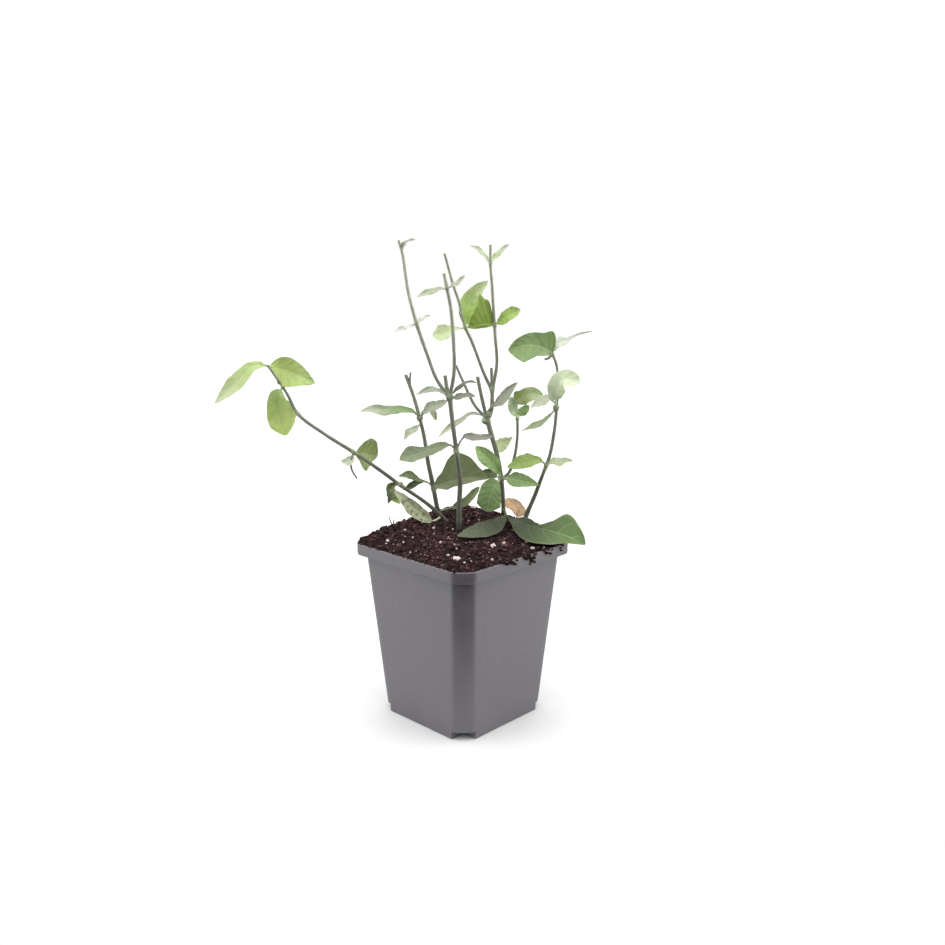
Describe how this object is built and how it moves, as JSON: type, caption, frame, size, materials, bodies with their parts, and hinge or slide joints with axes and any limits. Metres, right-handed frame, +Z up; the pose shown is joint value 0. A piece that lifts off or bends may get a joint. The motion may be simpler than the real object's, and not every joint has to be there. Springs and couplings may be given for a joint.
{
  "type": "potted wintercreeper",
  "caption": "Young climbing evergreen with thin woody stems and paired oval leaves, growing in heaped soil in a square tapered nursery pot.",
  "frame": {"origin": "middle of the flat underside of the pot", "axes": "+Z up along the stems; X and Y run square to the pot's flat sides; the reclining stem leans out over the pot's corner at -X -Y"},
  "size_m": [0.154, 0.1638, 0.269],
  "materials": {
    "pot_plastic": "satin moulded plastic, faintly mottled",
    "soil": "damp crumbly potting soil with pale perlite bits",
    "yellow_green_foliage": "soft satin leaves, yellow-green, on a brown stem",
    "green_foliage": "satin leathery leaves with pale midribs",
    "grey_green_foliage": "satin leathery leaves, grey-green",
    "pale_foliage": "satin leaves, pale where light comes through",
    "dry_leaf": "matte dried leaf, curled",
    "perlite": "matte porous grains",
    "stem_bark": "thin smooth bark, green above and brown at the foot"
  },
  "bodies": {
    "root": {"square_pot": "pot_plastic", "potting_soil": "soil", "leafy_stem_reclining": "yellow_green_foliage", "leafy_stem_left": "green_foliage", "leafy_stem_centre": "grey_green_foliage", "leafy_stem_branched": "green_foliage", "leafy_stem_right": "pale_foliage", "dried_leaf": "dry_leaf"}
  },
  "joints": []
}
